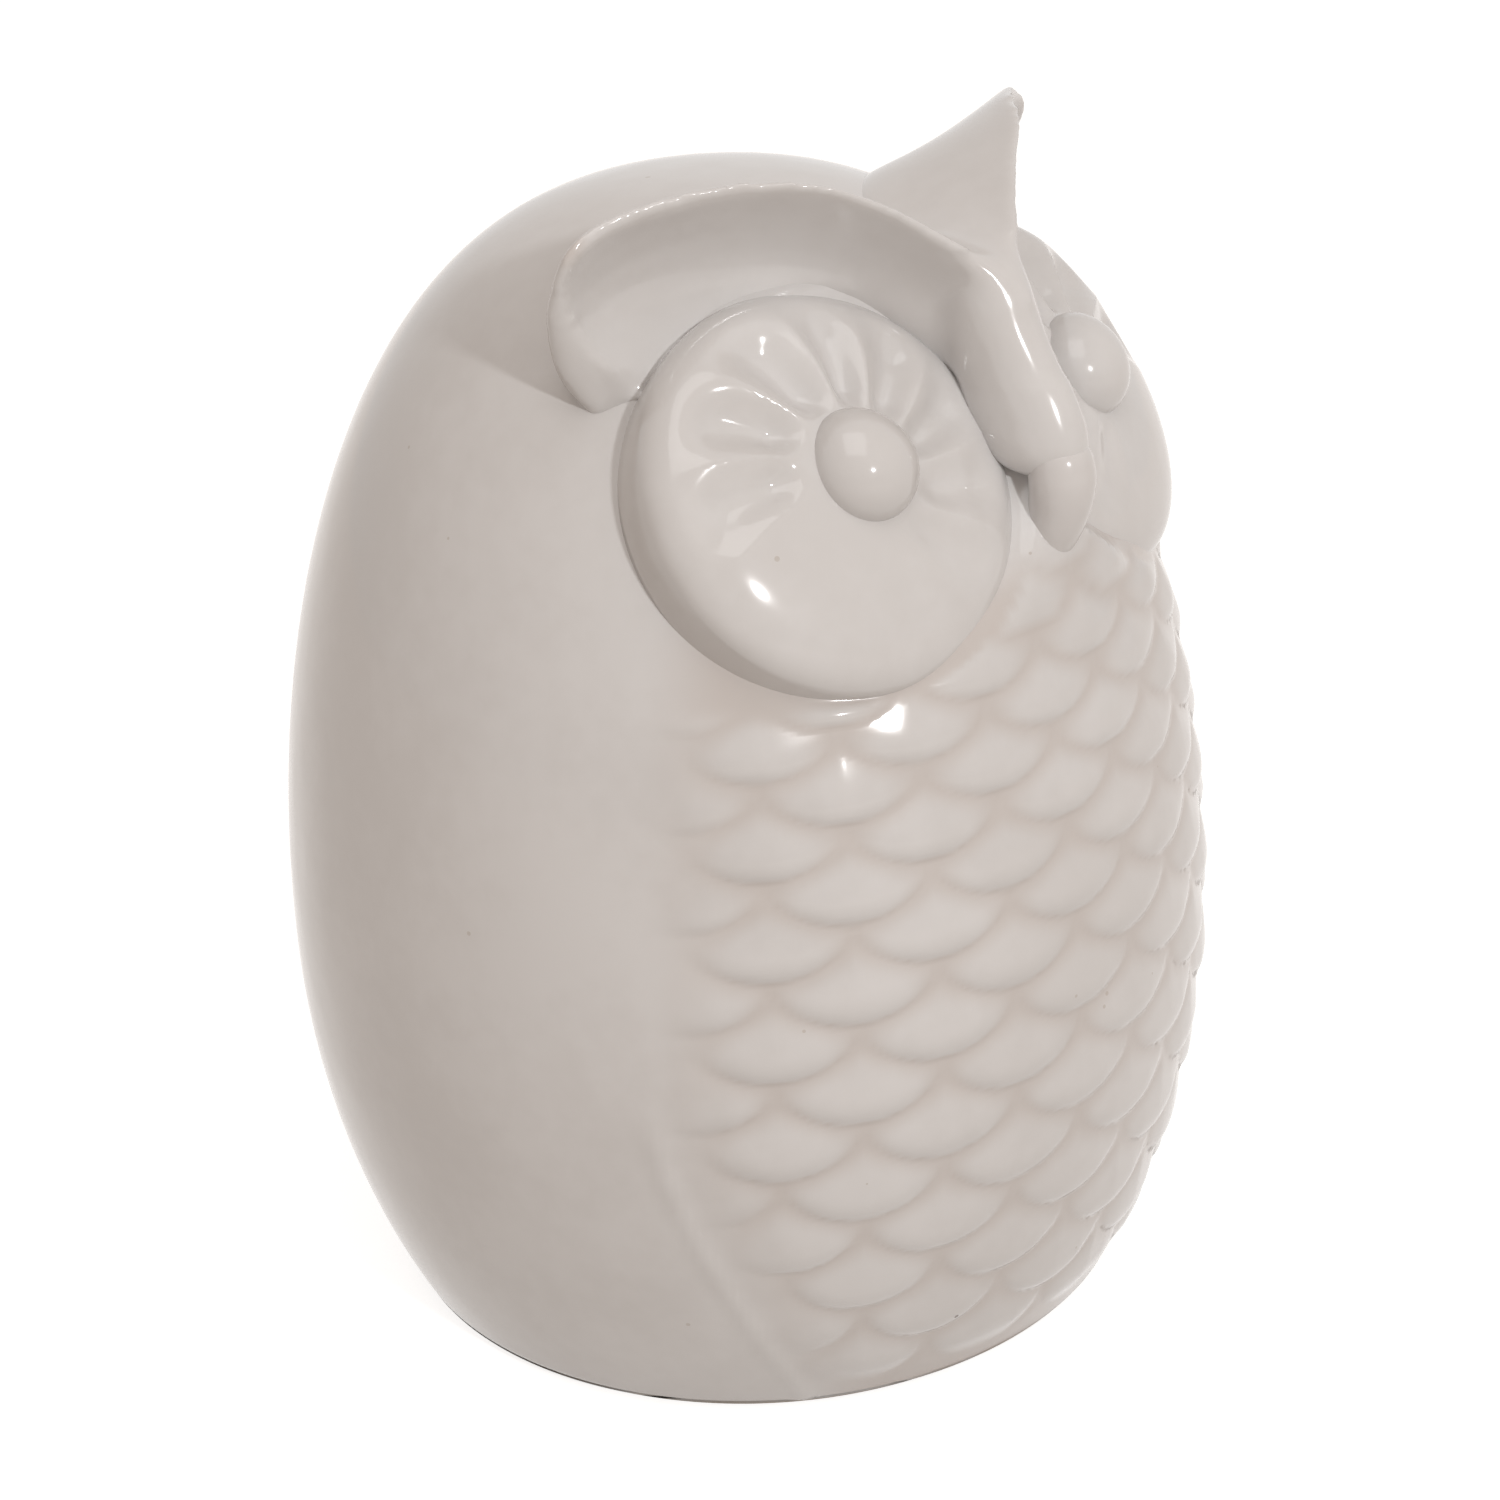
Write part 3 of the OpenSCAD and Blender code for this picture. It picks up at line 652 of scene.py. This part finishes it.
# One brow is drawn out section by section from the middle plane, and the other is its mirror
brow_mesh = bmesh.new()
first = brow_section(0)
for p in first:
    p.x = 0
ring = [brow_mesh.verts.new(p) for p in first]
loop = [brow_mesh.edges.new((a, b)) for a, b in zip(ring, ring[1:] + ring[:1])]
off_middle = 0.02 * mm
for i in range(1, stations_per_span * (len(ridge_curve) - 1) + 1):
    ring, loop = grown_ring(brow_mesh, ring, loop)
    for v, p in zip(ring, brow_section(i / stations_per_span)):
        v.co = Vector((max(p.x, off_middle), p.y, p.z))
bmesh.ops.edgeloop_fill(brow_mesh, edges=loop)
bmesh.ops.triangulate(brow_mesh, faces=[f for f in brow_mesh.faces if len(f.verts) > 4])
bmesh.ops.mirror(brow_mesh, geom=brow_mesh.verts[:] + brow_mesh.edges[:] + brow_mesh.faces[:],
                 axis="X", merge_dist=0.01 * mm)
bmesh.ops.recalc_face_normals(brow_mesh, faces=brow_mesh.faces)


def add_drop(mesh, sections):
    """A closed drop of clay, top first. Each section gives in millimetres its height, the reach of
    its front from the body's axis, half its width and half its depth."""
    curve = [Vector(row) for row in sections]
    rows_per_span = 8
    least_size = 0.05
    rows = []
    for i in range(rows_per_span * (len(curve) - 1) + 1):
        k = min(i // rows_per_span, len(curve) - 2)
        before = curve[k - 1] if k else 2 * curve[0] - curve[1]
        after = curve[k + 2] if k + 2 < len(curve) else 2 * curve[-1] - curve[-2]
        rows.append(eased(before, curve[k], curve[k + 1], after, i / rows_per_span - k))
    ring = bmesh.ops.create_circle(mesh, segments=64, radius=1)["verts"]
    angles = [atan2(v.co.y, v.co.x) for v in ring]
    loop = list({edge for v in ring for edge in v.link_edges})
    top_loop = list(loop)
    for i, (height, front, wide, deep) in enumerate(rows):
        if i:
            ring, loop = grown_ring(mesh, ring, loop)
        wide, deep = max(wide, least_size), max(deep, least_size)
        for v, angle in zip(ring, angles):
            v.co = Vector((wide * cos(angle), front + deep + deep * sin(angle), height)) * mm
            v.co.y += axis_y
    bmesh.ops.holes_fill(mesh, edges=top_loop + loop)


# The bridge is a drop of clay pressed on where the two brows meet, and smoothed into them
add_drop(brow_mesh, [(171.8, -55.2, 2.5, 2.5), (170.6, -56.4, 4.8, 4.6), (168.4, -57.1, 5.8, 6.6),
                     (164.5, -58.8, 5.9, 8), (160, -61.1, 5.8, 9), (156, -63.6, 5.8, 9.2),
                     (152, -65.4, 6.1, 9.4), (149, -66.3, 6.2, 9.2), (146.6, -66.2, 5.8, 8.4),
                     (144.8, -65.2, 4.7, 6.8), (143.4, -63.4, 2.8, 4.2), (142.7, -62, 0.1, 0.1)])
bmesh.ops.recalc_face_normals(brow_mesh, faces=brow_mesh.faces)


def kneaded(mesh, grain):
    """The same mesh as one skin of even, small faces, so that separate lumps of clay flow together."""
    data = bpy.data.meshes.new("lumps")
    mesh.to_mesh(data)
    mesh.free()
    lumps = bpy.data.objects.new("lumps", data)
    bpy.context.scene.collection.objects.link(lumps)
    skin = lumps.modifiers.new("skin", "REMESH")
    skin.mode = "VOXEL"
    skin.voxel_size = grain
    view = bpy.context.evaluated_depsgraph_get()
    kneaded_mesh = bmesh.new()
    kneaded_mesh.from_mesh(bpy.data.meshes.new_from_object(lumps.evaluated_get(view)))
    bpy.data.objects.remove(lumps)
    return kneaded_mesh


def rubbed(mesh, times, where):
    """Smooths the points in the part of a mesh that where picks out, a number of times."""
    picked = [v for v in mesh.verts if where(v.co)]
    for _ in range(times):
        bmesh.ops.smooth_vert(mesh, verts=picked, factor=0.5,
                              use_axis_x=True, use_axis_y=True, use_axis_z=True)


def everywhere(p):
    return True


def round_the_bridge(p):
    return abs(p.x) < 12 * mm and 157 * mm < p.z < 176 * mm


def at_the_tail(p):
    return abs(p.x) > 38 * mm and p.z < 172 * mm


def at_the_ear_tip(p):
    return abs(p.x) > 50 * mm and p.z > 176 * mm


clay_grain = 0.62 * mm
brow_mesh = kneaded(brow_mesh, clay_grain)
rubbed(brow_mesh, 14, everywhere)
rubbed(brow_mesh, 40, round_the_bridge)
rubbed(brow_mesh, 10, at_the_tail)
rubbed(brow_mesh, 4, at_the_ear_tip)

# The tips of the ears are worn, and take the same deeper colour that is painted as shade in the body's
# creases
ear_tip = Vector((54.6 * mm, axis_y - 20.2 * mm, 184 * mm))
worn_radius = 1.5 * mm
worn_fade = 3 * mm
worn = brow_mesh.verts.layers.float.new("crease_shade_and_wear")
for vert in brow_mesh.verts:
    off = (Vector((abs(vert.co.x), vert.co.y, vert.co.z)) - ear_tip).length
    vert[worn] = 1 - smooth((off - worn_radius) / worn_fade)
brow = finished_piece(brow_mesh, "brow_and_ear_tufts", glaze)
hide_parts("right_brow_crest", "left_brow_crest", "brow_bridge")

# ---- Beak ----
# A short blunt beak, rolled from one lump of stoneware clay and luted on under the bridge. Its
# glaze is painted a little darker than the rest, as painted shade for a beak that faces down.
worn_glaze = glazed("worn_glaze", thin=(0.575, 0.556, 0.545, 1), thick=(0.62, 0.605, 0.6, 1),
                    shade_and_wear=(0.5, 0.433, 0.39, 1), roughness=0.12)
beak_mesh = bmesh.new()
add_drop(beak_mesh, [(150.2, -62, 0.1, 0.1), (149.4, -64, 2.2, 2.4), (147.2, -66.4, 4.4, 4.4),
                     (144, -67.3, 5, 4.8), (141, -67.2, 4.9, 4.7), (138, -66.5, 4.5, 4.5),
                     (135, -65.3, 4.1, 4.2), (132.4, -63.8, 3.5, 3.5), (130.4, -62.1, 2.7, 2.6),
                     (129.2, -60.6, 1.6, 1.6), (128.8, -59.6, 0.1, 0.1)])
bmesh.ops.recalc_face_normals(beak_mesh, faces=beak_mesh.faces)
beak = finished_piece(beak_mesh, "short_beak", worn_glaze)
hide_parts("beak")

# ---- Camera, floor and light ----
# The camera stands at the owl's right, a little above it. The floor is a round pale sheet that
# shows white and keeps the owl's shadow, and a small lamp and a large soft one light the glaze.
view_azimuth = radians(-50)
view_elevation = radians(23.9)
view_roll = radians(-3)
view_distance = 466.05 * mm
to_camera = Vector((sin(view_azimuth) * cos(view_elevation), -cos(view_azimuth) * cos(view_elevation),
                    sin(view_elevation)))
level_right = Vector((cos(view_azimuth), sin(view_azimuth), 0))
level_up = to_camera.cross(level_right)
aim = Vector((0, axis_y - 1.92 * mm, 86.11 * mm)) + 0.09 * mm * level_right
camera_data = bpy.data.cameras.new("camera")
camera_data.lens = 68.77
camera_data.sensor_width = 36
camera = bpy.data.objects.new("camera", camera_data)
bpy.context.scene.collection.objects.link(camera)
camera_right = level_right * cos(view_roll) + level_up * sin(view_roll)
camera_up = level_up * cos(view_roll) - level_right * sin(view_roll)
stance = Matrix((camera_right, camera_up, to_camera)).transposed().to_4x4()
stance.translation = aim + to_camera * view_distance
camera.matrix_world = stance
bpy.context.scene.camera = camera

floor_radius = 3
floor_colour = (0.52, 0.49, 0.46, 1)
floor_roughness = 0.9
backdrop_colour = (0.5, 0.5, 0.5, 1)
backdrop_glow = 0.8
floor_mesh = bmesh.new()
bmesh.ops.create_circle(floor_mesh, cap_ends=True, segments=64, radius=floor_radius)
floor_data = bpy.data.meshes.new("floor")
floor_mesh.to_mesh(floor_data)
floor_mesh.free()
floor = bpy.data.objects.new("floor", floor_data)
bpy.context.scene.collection.objects.link(floor)
floor_paint = bpy.data.materials.new("pale_floor")
floor_paint.use_nodes = True
paint = floor_paint.node_tree
paint.nodes["Principled BSDF"].inputs["Base Color"].default_value = floor_colour
paint.nodes["Principled BSDF"].inputs["Roughness"].default_value = floor_roughness
glow = node_at(paint, "ShaderNodeEmission", -300, 400)
glow.inputs["Strength"].default_value = backdrop_glow
shaded = node_at(paint, "ShaderNodeBsdfDiffuse", -300, 200)
shaded.inputs["Color"].default_value = backdrop_colour
backdrop = node_at(paint, "ShaderNodeAddShader", 0, 300)
paint.links.new(glow.outputs[0], backdrop.inputs[0])
paint.links.new(shaded.outputs[0], backdrop.inputs[1])
mix = node_at(paint, "ShaderNodeMixShader", 300, 200)


def seen_directly(tree, x, y):
    """1 for the rays that show a thing itself, also in gloss and through glass."""
    path = node_at(tree, "ShaderNodeLightPath", x, y)
    seen = calculate(tree, x + 200, y, "MAXIMUM",
                     path.outputs["Is Camera Ray"], path.outputs["Is Glossy Ray"])
    return calculate(tree, x + 400, y, "MAXIMUM", seen, path.outputs["Is Transmission Ray"])


paint.links.new(seen_directly(paint, -700, 600), mix.inputs["Fac"])
paint.links.new(paint.nodes["Principled BSDF"].outputs["BSDF"], mix.inputs[1])
paint.links.new(backdrop.outputs[0], mix.inputs[2])
paint.links.new(mix.outputs["Shader"], paint.nodes["Material Output"].inputs["Surface"])
floor_data.materials.append(floor_paint)

world = bpy.data.worlds.new("studio")
bpy.context.scene.world = world
world.use_nodes = True
studio = world.node_tree
sky = studio.nodes["Background"]
room_light = (0.525, 0.446, 0.388, 1)
plain_white = (1, 1, 1, 1)
shown = seen_directly(studio, -700, 300)
studio.links.new(mix_colour(studio, -200, 300, shown, room_light, plain_white), sky.inputs["Color"])

owl_middle = Vector((0, 0, 100 * mm))


def soft_box(name, azimuth, elevation, distance, size, power):
    """A square lamp, of a size and at a distance in metres, that looks at the middle of the owl."""
    light = bpy.data.lights.new(name, "AREA")
    light.shape = "SQUARE"
    light.size = size
    light.energy = power
    lamp = bpy.data.objects.new(name, light)
    bpy.context.scene.collection.objects.link(lamp)
    a, e = radians(azimuth), radians(elevation)
    toward = Vector((sin(a) * cos(e), -cos(a) * cos(e), sin(e)))
    lamp.location = owl_middle + distance * toward
    lamp.rotation_euler = toward.to_track_quat("Z", "Y").to_euler()


soft_box("key", azimuth=-21, elevation=22.5, distance=1.4, size=0.07, power=6.7)
soft_box("overhead", azimuth=-50, elevation=66, distance=1.4, size=0.9, power=3.9)
bpy.context.scene.view_settings.view_transform = "Standard"
